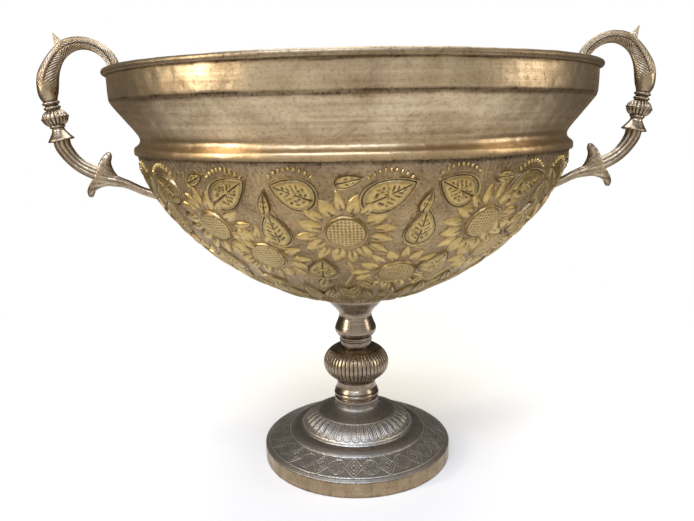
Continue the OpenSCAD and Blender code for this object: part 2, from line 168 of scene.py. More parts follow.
# %% Light
def panel(name, at, size, watts, colour, aim=(0, 0, 0.2)):
    """A soft light panel at a place in metres, turned towards a point."""
    data = bpy.data.lights.new(name, "AREA")
    data.shape = "RECTANGLE"
    data.size, data.size_y = size
    data.energy = watts
    data.color = linear(colour)[:3]
    light = bpy.data.objects.new(name, data)
    light.location = at
    light.rotation_euler = (Vector(aim) - Vector(at)).to_track_quat("-Z", "Y").to_euler()
    bpy.context.scene.collection.objects.link(light)


panel("window_panel", (-0.25, -1.0, 1.35), (1.1, 0.5), 22, "#cfe0ff")
panel("left_panel", (-1.25, -0.55, 0.75), (0.3, 0.9), 12, "#fff2df")
panel("right_panel", (1.15, -0.35, 0.6), (0.22, 0.8), 4, "#fff6ea")
panel("top_panel", (0.1, 0.35, 1.6), (1.3, 1.0), 24, "#ffffff")

room = bpy.data.worlds.new("room")
bpy.context.scene.world = room
room.use_nodes = True
tree = room.node_tree
tree.nodes.clear()
direction = add(tree, "TexCoord").outputs["Generated"]
parts = add(tree, "SeparateXYZ", {"Vector": direction})
behind = add(tree, "MapRange", {"Value": parts.outputs["Y"], "From Min": -0.92, "From Max": -0.1,
                                "To Min": 0.95, "To Max": 0.06}).outputs["Result"]
below = add(tree, "MapRange", {"Value": parts.outputs["Z"], "From Min": -0.02, "From Max": -0.2,
                               "To Min": 0.0, "To Max": 1.0}).outputs["Result"]
walls = add(tree, "Mix", {0: behind, 6: linear("#3a332b"), 7: linear("#fbf8f4")},
            data_type="RGBA").outputs[2]
near_floor = add(tree, "Mix", {0: behind, 6: linear("#4a3d30"), 7: linear("#fbf0de")},
                 data_type="RGBA").outputs[2]
ground = add(tree, "Mix", {0: below, 6: walls, 7: near_floor}, data_type="RGBA").outputs[2]
seen = add(tree, "LightPath").outputs["Is Camera Ray"]
shown = add(tree, "Mix", {0: seen, 6: ground, 7: (1, 1, 1, 1)}, data_type="RGBA").outputs[2]
glow = add(tree, "Background", {"Color": shown, "Strength": 1.0}).outputs[0]
add(tree, "OutputWorld", {"Surface": glow})

# %% [markdown]
# ## The metals
# The cup is brass that was plated with silver and then handled, polished and left to tarnish for
# a century. Tarnished silver is not one colour: it goes from straw to brown to slate as the film
# thickens, the plate has worn through to yellow brass on everything raised, and soot stays in
# every cut. So one recipe paints all of it, with different tones: cloudy patches, streaks left by
# the spinning lathe, fine specks, small hammer marks in the surface, and two marks that each mesh
# carries: one for how deep a point lies in a cut, which also carries a painted shadow round the
# petals' edges, and one for how far the brass shows, which also carries a painted highlight on the
# raised chased forms and along the foot's engraved lines.

# %% The recipe for old metal
def per_mm(size):
    """The scale of a pattern whose grain is that many millimetres."""
    return 1 / (size * MM)


def old_metal(name, clean, dull, stain_and_shade, worn_and_highlit, rough=(0.22, 0.42), cloud_mm=38, streak=0.5,
              dent_mm=9, dent_depth=0.05, grain_depth=0.012):
    """Tarnished metal. The four colours are hex: clean plate, dull film, stain (also the colour of
    painted shadow) and worn brass (also the colour of painted highlights).
    """
    metal = bpy.data.materials.new(name)
    metal.use_nodes = True
    tree = metal.node_tree
    tree.nodes.clear()
    place = add(tree, "TexCoord").outputs["Object"]
    clouds = add(tree, "TexNoise", {"Vector": place, "Scale": per_mm(cloud_mm), "Detail": 7,
                                    "Roughness": 0.62, "Distortion": 0.6}).outputs["Fac"]
    flat = add(tree, "Mapping", {"Vector": place, "Scale": (9, 9, 330)}).outputs[0]
    streaks = add(tree, "TexNoise", {"Vector": flat, "Scale": 1, "Detail": 5,
                                     "Roughness": 0.6}).outputs["Fac"]
    specks = add(tree, "TexNoise", {"Vector": place, "Scale": per_mm(2.2), "Detail": 4,
                                    "Roughness": 0.7}).outputs["Fac"]
    film = add(tree, "Mix", {0: streak, 2: clouds, 3: streaks}, data_type="FLOAT").outputs[0]
    filmed = add(tree, "MapRange", {"Value": film, "From Min": 0.36, "From Max": 0.64}).outputs[0]
    tone = add(tree, "Mix", {0: filmed, 6: linear(clean), 7: linear(dull)},
               data_type="RGBA").outputs[2]
    # This mark paints worn brass, and on the chased forms and the foot's engraved lines also a painted
    # highlight.
    wear_and_highlight = add(tree, "Attribute", attribute_name="wear_and_highlight").outputs["Fac"]
    tone = add(tree, "Mix", {0: wear_and_highlight, 6: tone, 7: linear(worn_and_highlit)}, data_type="RGBA").outputs[2]
    # This mark paints tarnish in the cuts, and round the petals' edges a painted shadow.
    patina_and_shade = add(tree, "Attribute", attribute_name="patina_and_shade").outputs["Fac"]
    spotted = add(tree, "MapRange", {"Value": specks, "From Min": 0.5, "From Max": 0.78,
                                     "To Max": 0.55}).outputs[0]
    darkening = add(tree, "Math", {0: patina_and_shade, 1: spotted}, operation="ADD", use_clamp=True).outputs[0]
    tone = add(tree, "Mix", {0: darkening, 6: tone, 7: linear(stain_and_shade)}, data_type="RGBA").outputs[2]
    sheen = add(tree, "MapRange", {"Value": film, "From Min": 0.3, "From Max": 0.7,
                                   "To Min": rough[0], "To Max": rough[1]}).outputs[0]
    matt = add(tree, "MapRange", {"Value": darkening, "To Min": 0.0, "To Max": 0.22}).outputs[0]
    roughness = add(tree, "Math", {0: sheen, 1: matt}, operation="ADD").outputs[0]
    dents = add(tree, "TexVoronoi", {"Vector": place, "Scale": per_mm(dent_mm), "Smoothness": 1},
                feature="SMOOTH_F1").outputs["Distance"]
    hammered = add(tree, "Bump", {"Height": dents, "Strength": 1, "Distance": dent_depth * MM * 10})
    scratched = add(tree, "Bump", {"Height": specks, "Strength": 1,
                                   "Distance": grain_depth * MM * 10,
                                   "Normal": hammered.outputs[0]})
    turned = add(tree, "Bump", {"Height": streaks, "Strength": 1,
                                "Distance": grain_depth * MM * 10,
                                "Normal": scratched.outputs[0]})
    shader = add(tree, "BsdfPrincipled", {"Base Color": tone, "Roughness": roughness,
                                          "Metallic": 1.0, "Normal": turned.outputs[0]})
    add(tree, "OutputMaterial", {"Surface": shader.outputs[0]})
    return metal


# %% [markdown]
# ## Which metal is where
# Spun and planished sheet makes the wall, the same sheet chased from both sides makes the bowl,
# turned castings make the stem, and the handles are cast and then tooled. Where hands and polish
# reach most, the film is thin and pale; inside and under, it is thick and brown. The ground
# between the chased flowers was matted with a punch, so it is rougher and darker than they are.

# %% The finishes
wall_plate = old_metal("spun_plated_brass", "#c9b798", "#9a8467", "#453628", "#c29f68",
                       rough=(0.27, 0.44), cloud_mm=30, streak=0.4)
# Its worn colour paints the gold of the raised forms: worn brass, and partly a painted highlight.
chased_plate = old_metal("chased_plated_brass", "#b9a885", "#968564", "#3b3126", "#c9ab66",
                         rough=(0.26, 0.44), cloud_mm=22, streak=0.15, dent_mm=3.2,
                         dent_depth=0.03, grain_depth=0.03)
matted_ground = old_metal("matted_brass_ground", "#b9a588", "#93806a", "#382c20", "#c0a266",
                          rough=(0.34, 0.5), cloud_mm=24, streak=0.1, dent_mm=2.4,
                          dent_depth=0.09, grain_depth=0.04)
stem_brass = old_metal("turned_bronzed_brass", "#a89b8a", "#7b6e60", "#3d3026", "#b8a283",
                       rough=(0.18, 0.34), cloud_mm=16, streak=0.4, dent_mm=14, dent_depth=0.01,
                       grain_depth=0.006)
# Its pale worn colour is used only for the painted highlight along the engraved lines.
foot_plate = old_metal("engraved_plate", "#b0aaa1", "#8f887e", "#4a443d", "#dcd6ca",
                       rough=(0.38, 0.52), cloud_mm=26, streak=0.35, dent_depth=0.02)
foot_edge = old_metal("worn_gilding_metal", "#b09d80", "#8b7a62", "#43362a", "#b89c72",
                      rough=(0.26, 0.42), cloud_mm=14, streak=0.3)
cast_silver = old_metal("cast_silver_plate", "#b8aa93", "#8b7a65", "#42342a", "#b89c72",
                        rough=(0.24, 0.38), cloud_mm=14, streak=0.1, dent_mm=6, dent_depth=0.02,
                        grain_depth=0.005)
fixing_steel = old_metal("machined_steel", "#a7a9ab", "#85878a", "#4c443e", "#8a7f70",
                         rough=(0.3, 0.45), cloud_mm=6, streak=0.2, dent_depth=0.0)
rivet_brass = old_metal("hammered_rivet_brass", "#b99a62", "#94784a", "#4a3826", "#c9a560",
                        rough=(0.28, 0.42), cloud_mm=3, streak=0.1, dent_mm=2)
print(len(bpy.data.materials), "finishes")

# %% [markdown]
# ## From numbers to a piece
# Nearly everything here is either spun about the cup's axis or drawn along a curve. Both kinds of
# form are a grid of points, so each maker below returns the points in millimetres, the faces
# between them and the two marks. One last function joins such forms into a Blender object.

# %% Grids, smooth lines and finished pieces
def grid_faces(rows, columns, closed):
    """Four-sided faces over a grid that joins round its columns, and round its rows if closed."""
    down = np.arange(rows if closed else rows - 1)[:, None]
    over = np.arange(columns)[None, :]
    next_down, next_over = (down + 1) % rows, (over + 1) % columns
    corners = (down * columns + over, down * columns + next_over,
               next_down * columns + next_over, next_down * columns + over)
    return np.stack([c.ravel() for c in np.broadcast_arrays(*corners)], axis=1).tolist()


def through(points, step):
    """A smooth line through the points, returned as points a step apart."""
    points = np.array(points, float)
    gaps = np.linalg.norm(np.diff(points, axis=0), axis=1)
    along = np.concatenate(([0], np.cumsum(gaps)))
    slopes = np.gradient(points, along, axis=0)
    wanted = np.linspace(0, along[-1], max(2, round(along[-1] / step)) + 1)
    left = np.clip(np.searchsorted(along, wanted, side="right") - 1, 0, len(gaps) - 1)
    gap = gaps[left][:, None]
    t = (wanted - along[left])[:, None] / gap
    start, end = points[left], points[left + 1]
    return ((2 * t**3 - 3 * t**2 + 1) * start + (t**3 - 2 * t**2 + t) * gap * slopes[left]
            + (3 * t**2 - 2 * t**3) * end + (t**3 - t**2) * gap * slopes[left + 1])


def piece(name, forms, finish, nodes, crisp=40):
    """Joins closed forms, given in millimetres, into one object that rides on the cup."""
    points, faces, patina_and_shade, wear_and_highlight = [], [], [], []
    count = 0
    for form_points, form_faces, form_patina_and_shade, form_wear_and_highlight in forms:
        faces += [[i + count for i in face] for face in form_faces]
        points.append(form_points)
        patina_and_shade.append(np.broadcast_to(form_patina_and_shade, len(form_points)))
        wear_and_highlight.append(np.broadcast_to(form_wear_and_highlight, len(form_points)))
        count += len(form_points)
    mesh = bpy.data.meshes.new(name)
    mesh.from_pydata((np.concatenate(points) * MM).tolist(), [], faces)
    for mark, values in (("patina_and_shade", patina_and_shade), ("wear_and_highlight", wear_and_highlight)):
        layer = mesh.attributes.new(mark, "FLOAT", "POINT")
        layer.data.foreach_set("value", np.clip(np.concatenate(values), 0, 1).astype(np.float32))
    form = bmesh.new()
    form.from_mesh(mesh)
    bmesh.ops.recalc_face_normals(form, faces=form.faces)
    form.to_mesh(mesh)
    form.free()
    mesh.shade_smooth()
    mesh.set_sharp_from_angle(angle=radians(crisp))
    mesh.materials.append(finish)
    obj = bpy.data.objects.new(name, mesh)
    bpy.context.scene.collection.objects.link(obj)
    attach(obj, "root")
    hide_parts(*nodes)
    print(f"{name}: {len(mesh.polygons)} faces")
    return obj


def spun(line, around, relief=0, patina_and_shade=0, wear_and_highlight=0):
    """Spins a closed line of (radius, height) about the upright axis; relief pushes it outwards.

    Relief and the marks are arrays of one row per point of the line and one column per turn step.
    """
    line = np.array(line, float)
    angles = np.arange(around) * 2 * pi / around
    ahead = np.roll(line, -1, axis=0) - np.roll(line, 1, axis=0)
    ahead /= np.maximum(np.linalg.norm(ahead, axis=1), 1e-9)[:, None]
    turn_sum = np.sum(line[:, 0] * np.roll(line[:, 1], -1) - np.roll(line[:, 0], -1) * line[:, 1])
    outward = np.stack([ahead[:, 1], -ahead[:, 0]], axis=1) * np.sign(turn_sum)
    push = np.broadcast_to(relief, (len(line), around))
    radius = line[:, :1] + outward[:, :1] * push
    height = line[:, 1:] + outward[:, 1:] * push
    points = np.stack([radius * np.sin(angles), -radius * np.cos(angles), height], axis=2)
    marks = [np.broadcast_to(m, (len(line), around)).ravel() for m in (patina_and_shade, wear_and_highlight)]
    return points.reshape(-1, 3), grid_faces(len(line), around, True), *marks


def groove(distance, width):
    """1 in the middle of a cut, falling away to nothing over about its width."""
    return np.exp(-(np.asarray(distance) / width) ** 2)

# %% [markdown]
# ## Upper wall
# The neck was spun in brass over a wooden chuck, its top edge rolled outwards over a wire, and
# the whole planished by hand. A lathe-like sweep of its section is the honest way to make it. What
# makes it look old is what a perfect sweep lacks: the wall is gently out of true, the crease
# under the upright band wanders, and dirt sits in the crease, under the roll and along the seam.

# %% Upper wall
wall_low, wall_high = (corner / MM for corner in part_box("upper_wall"))
rim_r, rim_z, seam_z = wall_high.x, wall_high.z, wall_low.z
bead_r = 2.4
sheet = 1.4
bead_centre = (rim_r - bead_r, rim_z - bead_r)
band_r = rim_r - 2 * bead_r + sheet
crease_z = rim_z - 24
waist_r, waist_z = rim_r - 24.5, seam_z + 11
shoulder_r = rim_r - 19.5


def uneven(angles, levels):
    """The slow unevenness of hand-made work, about -1 to 1, over turn angles and heights."""
    a, z = np.asarray(angles)[None, :], np.asarray(levels)[:, None]
    return (0.4 * np.sin(5 * a + 0.043 * z) + 0.3 * np.sin(13 * a - 0.06 * z + 1.7)
            + 0.2 * np.sin(29 * a + 0.11 * z + 0.6) + 0.25 * np.sin(3 * a + 0.2 * z))


wall_line = np.concatenate([
    [[shoulder_r - sheet, seam_z], [shoulder_r - 0.4, seam_z], [shoulder_r, seam_z + 1.2]],
    through([[shoulder_r, seam_z + 4], [shoulder_r - 0.7, seam_z + 5.5], [waist_r + 2, seam_z + 7.2],
             [waist_r + 0.4, seam_z + 9.3], [waist_r, waist_z], [waist_r + 0.6, waist_z + 2.4],
             [waist_r + 2.6, waist_z + 5.6], [waist_r + 9, waist_z + 14],
             [band_r - 3.4, crease_z - 4.4], [band_r - 1, crease_z - 1.2]], 1.1),
    through([[band_r - 0.2, crease_z + 1], [band_r, crease_z + 6],
             [band_r, bead_centre[1] - bead_r - 0.4]], 1.1)])
roll_start = np.degrees(acos((bead_r - sheet) / bead_r)) - 180
roll = [(bead_centre[0] + bead_r * cos(a), bead_centre[1] + bead_r * sin(a))
        for a in np.radians(np.linspace(roll_start, 180, 30))]
inner_wall = wall_line[:1:-4] - (sheet, 0)
wall_section = np.concatenate([wall_line, roll, inner_wall])

turns = 540
angles = np.arange(turns) * 2 * pi / turns
levels = wall_section[:, 1]
outside = np.arange(len(wall_section)) < len(wall_line)
wander = 0.6 * uneven(angles * 2, [0])
crease = levels[:, None] - crease_z - wander
under_roll = levels[:, None] - (bead_centre[1] - bead_r - 0.4) - 1.3 * wander
seam = levels[:, None] - seam_z
wall_relief = 0.2 * uneven(angles, levels) - 0.5 * groove(crease, 0.9) * outside[:, None]
roll_nicks = 0.12 * uneven(angles * 4, levels) * (levels > bead_centre[1] - bead_r)[:, None]
wall_dirt = (1.0 * groove(crease, 1.5) + 0.75 * groove(under_roll, 0.9) + 0.7 * groove(seam, 1.2)
             + 0.08 * (levels > crease_z)[:, None] + 0.12 * uneven(angles * 3, levels))
wall_dirt = np.where(outside[:, None], wall_dirt, 0.42 + 0.15 * uneven(angles, levels))
wall_bright = 0.35 * groove(levels[:, None] - waist_z + 6, 5) * outside[:, None]
piece("spun_neck", [spun(wall_section, turns, wall_relief + roll_nicks, wall_dirt,
                                      wall_bright)], wall_plate, ["upper_wall"])

# %% [markdown]
# ## Bowl
# The bowl is one sheet, raised to the fullness of a superellipse and then filled with pitch and
# chased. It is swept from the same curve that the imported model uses. Distances down its side are
# measured along that curve from the seam, so that a flower keeps its size wherever it is put.

# %% The bowl's curve and its plain sheet
seat_z, seat_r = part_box("bowl")[0].z / MM, 24
lip_r = shoulder_r - sheet - 0.1
widest_z = seam_z + 7
fullness = 1.66
seat_share = (1 - (seat_r / lip_r) ** fullness) ** (1 / fullness)
bowl_drop = (widest_z - seat_z) / seat_share
to_seat = asin((seat_r / lip_r) ** (fullness / 2))
to_seam = acos(((widest_z - seam_z) / bowl_drop) ** (fullness / 2))


def bowl_side(inset, count):
    """The bowl's side from the seam down to the seat, inset by a thickness."""
    t = np.linspace(to_seam, to_seat, count)
    return np.stack([(lip_r - inset) * np.sin(t) ** (2 / fullness),
                     widest_z - (bowl_drop - inset) * np.cos(t) ** (2 / fullness)], axis=1)


side = bowl_side(0, 400)
down_side = np.concatenate(([0], np.cumsum(np.linalg.norm(np.diff(side, axis=0), axis=1))))
slope = np.gradient(side, down_side, axis=0)
side_length = down_side[-1]


def on_bowl(turn, down, lift):
    """Points turned about the axis from the front, down the side from the seam, and lifted."""
    radius, height, out_r, out_z = (np.interp(down, down_side, values) for values in
                                    (side[:, 0], side[:, 1], -slope[:, 1], slope[:, 0]))
    radius = radius + out_r * lift
    return np.stack([radius * np.sin(turn), -radius * np.cos(turn), height + out_z * lift], axis=-1)


rod_hole = 4.15
bowl_section = np.concatenate([
    [[rod_hole, seat_z]], bowl_side(0, 90)[::-1], [[lip_r, seam_z + 4], [lip_r - sheet, seam_z + 4]],
    bowl_side(sheet, 40), [[rod_hole, bowl_side(sheet, 2)[-1, 1]]]])
turns = 360
angles = np.arange(turns) * 2 * pi / turns
levels = bowl_section[:, 1]
outside = (np.arange(len(levels)) < 92)[:, None]
top_band = groove(levels[:, None] - seam_z + 3, 4.5)
bowl_dirt = np.where(outside, 0.26 + 0.15 * uneven(angles * 3, levels * 2)
                     + 0.6 * groove(levels[:, None] - seam_z + 0.5 + 0.5 * uneven(angles, [0]), 1.2),
                     0.4)
piece("chased_bowl_sheet", [spun(bowl_section, turns,
                                              0.2 * uneven(angles * 2, levels * 2) * outside,
                                              bowl_dirt, 0.35 * (1 - top_band) * outside)],
                   matted_ground, ["bowl"])
print("down the bowl's side:", round(side_length), "mm")

# %% [markdown]
# ## Chased flowers
# A chaser pushes each leaf and petal out from behind, then sets it off from the front with a
# lining tool, which leaves a bright edge with a dark cut inside it. So every motif here is a
# domed form that follows the bowl's curve: rings of points from its middle out to its outline,
# lifted by a rule of its own, with the last ring sunk into the sheet. Its raised parts are painted
# gold, partly as worn brass and partly as a painted highlight.

# %% One raised form on the bowl
def raised(outline, rings, rule, turn, down, spin):
    """A chased form. rule gives lift and the two marks from the share out to the outline, x and y; the
    gold on the raised parts is partly a painted highlight.
    """
    shares = np.array(rings)[:, None]
    x, y = outline[:, 0] * shares, outline[:, 1] * shares
    lift, patina_and_shade, wear_and_highlight = (np.broadcast_to(v, x.shape) for v in rule(shares, x, y))
    lift = np.where(shares == 1, -0.5, lift)
    across = x * cos(spin) - y * sin(spin)
    up = x * sin(spin) + y * cos(spin)
    here = np.clip(down - up, 0.5, side_length)
    bend = radians(turn) + across / np.interp(here, down_side, side[:, 0])
    points = on_bowl(bend, here, lift).reshape(-1, 3)
    middle = np.mean(points[:len(outline)], axis=0)
    below = on_bowl(np.array([radians(turn)]), np.array([down]), np.array([-0.5]))
    columns = len(outline)
    last = columns * (len(rings) - 1)
    faces = grid_faces(len(rings), columns, False)
    faces += [[len(points), i, (i + 1) % columns] for i in range(columns)]
    faces += [[len(points) + 1, last + i, last + (i + 1) % columns] for i in range(columns)]
    points = np.concatenate([points, [middle], below])
    # The middle point is painted gold as the dome's top: worn brass, and partly a painted highlight.
    return points, faces, np.append(patina_and_shade.ravel(), (0, 0)), np.append(wear_and_highlight.ravel(), (0.8, 0))


def almond(length, width, count, tip=0.8):
    """A leaf-shaped outline that points along x."""
    t = np.arange(count) * 2 * pi / count
    return np.stack([length / 2 * np.cos(t),
                     width / 2 * np.sin(t) * np.abs(np.sin(t / 2)) ** tip * 1.15], axis=1)


# %% [markdown]
# ## Leaf, petal and seed head
# The leaves have a double lined border, a midrib cut and slanting cuts for side veins. A petal is a
# small pillow with a ridge, and a painted shadow round its edge. A seed head is a low dome, punched
# all over with a round tool.

# %% Rules for the motifs
def leaf_rule(length):
    def rule(share, x, y):
        border = groove(share - 0.88, 0.04) + 0.8 * groove(share - 0.74, 0.035)
        midrib = groove(y, 0.5) * (share < 0.8) * (x < length * 0.36)
        slant = (x - np.abs(y) * 0.9 + 40) % 3.9 - 1.95
        inside = (np.abs(y) > 1.1) & (share < 0.62)
        veins = groove(slant, 0.55) * inside
        cuts = np.maximum(np.maximum(border, midrib), veins)
        lift = 2.0 - 0.6 * share**2 - 0.9 * cuts
        # All but the cuts and the outer edge is painted gold: worn brass, and partly a painted
        # highlight on the raised leaf.
        return lift, 0.95 * cuts, 0.7 * (1 - cuts) * (share < 0.97)
    return rule


def petal_rule(share, x, y):
    ridge = 1.75 * (1 - share**2) ** 0.7 + 0.12 * y
    cut = groove(y, 0.5) * (x < -1) * (share < 0.9)
    # The dark on the outer ring is painted shadow, the outline that the raised petal casts; the
    # petal's gold is worn brass and partly a painted highlight.
    return ridge - 0.35 * cut, 0.6 * cut + 0.5 * (share > 0.95), 0.6 * (1 - 0.7 * cut)


def seed_rule(dot_mm):
    def rule(share, x, y):
        wave = 2 * pi / (dot_mm * 1.414)
        punched = np.clip(np.cos(wave * (x + y) / 1.414) * np.cos(wave * (x - y) / 1.414), 0, 1)
        rim = groove(share - 0.88, 0.035)
        lift = 2.1 - 0.7 * share**2 - 0.75 * punched * (share < 0.84) - 0.8 * rim
        # The dome between the punch marks is painted gold: worn brass, and partly a painted highlight.
        return lift, 0.8 * punched * (share < 0.84) + 0.7 * rim, 0.5 - 0.3 * punched
    return rule


leaf_rings = [0.12, 0.24, 0.34, 0.44, 0.53, 0.62, 0.7, 0.77, 0.83, 0.88, 0.93, 0.97, 1]
petal_rings = [0.3, 0.6, 0.85, 1]
seed_dot_mm = 2.5
petal_gap = 0.8
back_row_step = 2.5
seed_rings = [*np.linspace(0.04, 0.84, 21), 0.87, 0.9, 0.95, 1]


def leaf(turn, down, length, width, spin, count=52):
    return raised(almond(length, width, count), leaf_rings, leaf_rule(length),
                  turn, down, radians(spin))


def petal(turn, down, length, width, spin):
    return raised(almond(length, width, 16, 0.6), petal_rings, petal_rule, turn, down, spin)


def flower(turn, down, disc_r, petals, petal_l, spin):
    """A sunflower: a punched seed head, and two rows of petals that stand round it."""
    columns = 96
    t = np.arange(columns) * 2 * pi / columns
    circle = disc_r * np.stack([np.cos(t), np.sin(t)], axis=1)
    head = raised(circle, seed_rings, seed_rule(seed_dot_mm), turn, down, 0)
    around = []
    for i in range(2 * petals):
        a = spin + pi * i / petals
        reach = disc_r + petal_gap + petal_l / 2 + back_row_step * (i % 2)
        along = down - reach * sin(a)
        aside = reach * cos(a) / np.interp(along, down_side, side[:, 0])
        around.append(petal(turn + np.degrees(aside), along, petal_l,
                            petal_l * (0.64 - 0.16 * (i % 2)), a + 0.1 * sin(5 * i)))
    return head, around


def stem(stops, half_width, half_height=0.9):
    """A raised stalk through stops of (turn in degrees, mm down the side)."""
    route = through(stops, 0.9)
    turn, down = np.radians(route[:, 0]), route[:, 1]
    line = on_bowl(turn, down, -0.1)
    up = on_bowl(turn, down, 1) - on_bowl(turn, down, 0)
    ahead = np.gradient(line, axis=0)
    aside = np.cross(ahead, up)
    aside /= np.linalg.norm(aside, axis=1)[:, None]
    t = np.arange(8) * pi / 4
    fade = np.clip(np.minimum(np.arange(len(line)), np.arange(len(line))[::-1]) / 4 + 0.15, 0, 1)
    size = (half_width * fade)[:, None, None]
    points = (line[:, None] + size * aside[:, None] * np.cos(t)[:, None]
              + half_height * fade[:, None, None] * up[:, None] * np.sin(t)[:, None])
    faces = grid_faces(len(line), 8, False)
    faces += [list(range(8)), [len(line) * 8 - 8 + i for i in range(8)]]
    # The stalk's crown is painted gold: worn brass, and partly a painted highlight.
    wear_and_highlight = np.broadcast_to(0.8 * np.clip(np.sin(t), 0, 1), (len(line), 8))
    return points.reshape(-1, 3), faces, 0.1, wear_and_highlight.ravel()


# %% [markdown]
# ## The pattern
# Ten flowers stand in a row below the seam and ten more between them, set lower and higher by
# turns. Stalks rise from the seat, and leaves fill the gaps. It was drawn by hand, so each repeat
# is moved, turned and sized a little differently. Small punch marks arch over the top leaves.

# %% Lay out the flowers
repeats = 10
step = 360 / repeats
first = -5
drift = np.random.default_rng(7)
heads, petals, forms, punched = [], [], [], []
for i in range(repeats):
    turn = first + step * i
    shift, sink, grow = drift.uniform(-1.3, 1.3), drift.uniform(-2, 2), drift.uniform(0.94, 1.05)
    head, around = flower(turn, 51 + sink, 14.4 * grow, 8, 17 * grow, 0.2 + shift)
    heads.append(head)
    petals += around
    low_turn, low_down = (turn + 11, 79) if i % 2 else (turn + 15.4, 99)
    head, around = flower(low_turn + shift, low_down + sink, 14.6 * grow, 8, 15 * grow, shift)
    heads.append(head)
    petals += around
    tops = [(turn + 9.5, 21 + sink / 2, 40 * grow, 26 * grow, 24 + 6 * shift),
            (turn + 24.5 + shift / 2, 21 - sink / 2, 34 * grow, 27 * grow, 152 + 6 * shift)]
    for leaf_turn, leaf_down, length, width, spin in tops:
        forms.append(leaf(leaf_turn, leaf_down, length, width, spin))
        for k in range(-4, 5):
            arch_turn = leaf_turn + np.degrees((k * 3.3) / 172)
            arch_down = leaf_down - width * 0.52 - 2.6 + 0.32 * k * k
            punched.append(petal(arch_turn, max(arch_down, 3), 3.8, 2.5,
                                 pi / 2 - 0.16 * k))
    forms.append(leaf(turn + 18 + shift / 2, 51 - sink, 34 * grow, 24 * grow, 84 + 8 * shift))
    forms.append(leaf(turn - 8, 92 + sink, 30, 25, 78 + 10 * shift, 36))
    for gap_turn, gap_down, spin in ((5, 117, 130), (27, 113, 60), (18, 29, 70), (1, 13, 10)):
        forms.append(leaf(turn + gap_turn, gap_down - sink / 2, 20, 10, spin + 9 * shift, 24))
    forms.append(leaf(turn + 7.5, 139 + sink, 27, 9.5, 100 + 5 * shift, 32))
    forms.append(leaf(turn + 26.5, 137 + sink, 27, 9.5, 76 - 5 * shift, 32))
    for lower_turn, lower_down, length, width, spin in (
            (1, 131, 30, 13, 70), (17, 134, 31, 13, 96), (33, 133, 30, 13, 112),
            (5.5, 163, 26, 8.5, 84), (17.5, 167, 26, 8.5, 90), (29, 164, 26, 8.5, 96)):
        forms.append(leaf(turn + lower_turn + shift, lower_down + sink, length, width, spin, 28))
    forms.append(stem([(turn + 5, side_length - 8), (turn + 1.5, 160), (turn - 1.5, 125),
                       (turn + 1.5, 100), (turn, 84)], 1.5))
    forms.append(stem([(turn + 16, side_length - 10), (turn + 21, 155), (turn + 15.5, 124)], 1.4))
    forms.append(stem([(turn + 21, 72), (turn + 16, 66), (turn + 20, 40), (turn + 17.2, 27)], 1.1))
for name, group in (("chased_seed_heads", heads), ("chased_petals", petals),
                    ("chased_punch_marks", punched), ("chased_leaves_and_stalks", forms)):
    piece(name, group, chased_plate, ["bowl"], crisp=60)

# %% [markdown]
# ## Stem
# The boss under the bowl, the small knop, the joint rings and the collar are plain turned
# castings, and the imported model's own shapes are right for them, so they only need their metal.
# The big knop is different: its lower two thirds are gadrooned, which means cut into a row of
# upright lobes. The lobes are real geometry, deepest at the widest part.

# %% Turned castings and the gadrooned knop
for name in ("bowl_boss", "upper_stem", "joint_ring", "lower_stem", "foot_collar"):
    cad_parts[name].data.materials.clear()
    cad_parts[name].data.materials.append(stem_brass)

knop_low, knop_high = (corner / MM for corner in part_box("main_knop"))
knop_r, knop_z = knop_high.x, knop_low.z
knop_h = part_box("joint_ring")[0].z / MM - knop_z
body_z, body_h = knop_z + knop_h * 0.05, knop_h * 0.85
spread = np.radians(np.linspace(-50, 60, 56))
bulge = np.stack([knop_r * np.cos(spread) ** 0.9,
                  body_z + body_h * (np.sin(spread) + sin(radians(50)))
                  / (sin(radians(60)) + sin(radians(50)))], axis=1)
knop_neck = 13.65
knop_section = np.concatenate([
    [[rod_hole, knop_z], [18.6, knop_z]], bulge,
    [[knop_neck, body_z + body_h], [knop_neck, knop_z + knop_h], [rod_hole, knop_z + knop_h]]])
lobes = 48
turns = lobes * 14
angles = np.arange(turns) * 2 * pi / turns
levels = knop_section[:, 1][:, None]
on_bulge = ((levels > body_z + 0.4) & (levels < body_z + body_h)).astype(float)
lobe_top = knop_z + 28.5
cut_depth = np.clip((lobe_top - levels) / 3, 0, 1) ** 0.5 * np.clip((levels - body_z) / 3, 0.3, 1)
valley = (1 - np.abs(np.sin(lobes / 2 * angles))[None, :]) ** 2.6
line_cut = groove(levels - lobe_top - 0.9, 0.42) * on_bulge
knop_relief = -(0.95 * valley * cut_depth + 0.4 * line_cut) * on_bulge
knop_dirt = (0.95 * valley * cut_depth + 0.5 * line_cut) * on_bulge + 0.5 * (levels < body_z + 0.5)
knop_dirt = knop_dirt + 0.5 * groove(levels - body_z - body_h, 1.2)
knop_worn = 0.2 * (1 - valley) * cut_depth * on_bulge
piece("gadrooned_knop", [spun(knop_section, turns, knop_relief, knop_dirt, knop_worn)],
      stem_brass, ["main_knop"])

# %% [markdown]
# ## Engraved foot
# The foot is spun, then engraved: a ring of tongues round the cone, and round the border circles
# with a flower in each, set between lozenges on a hatched ground. An engraver's cut is a furrow
# with a small burr along it. So the relief is worked out from the distance to each line, and the
# lines are painted pale as a painted highlight for the light that the burr catches.

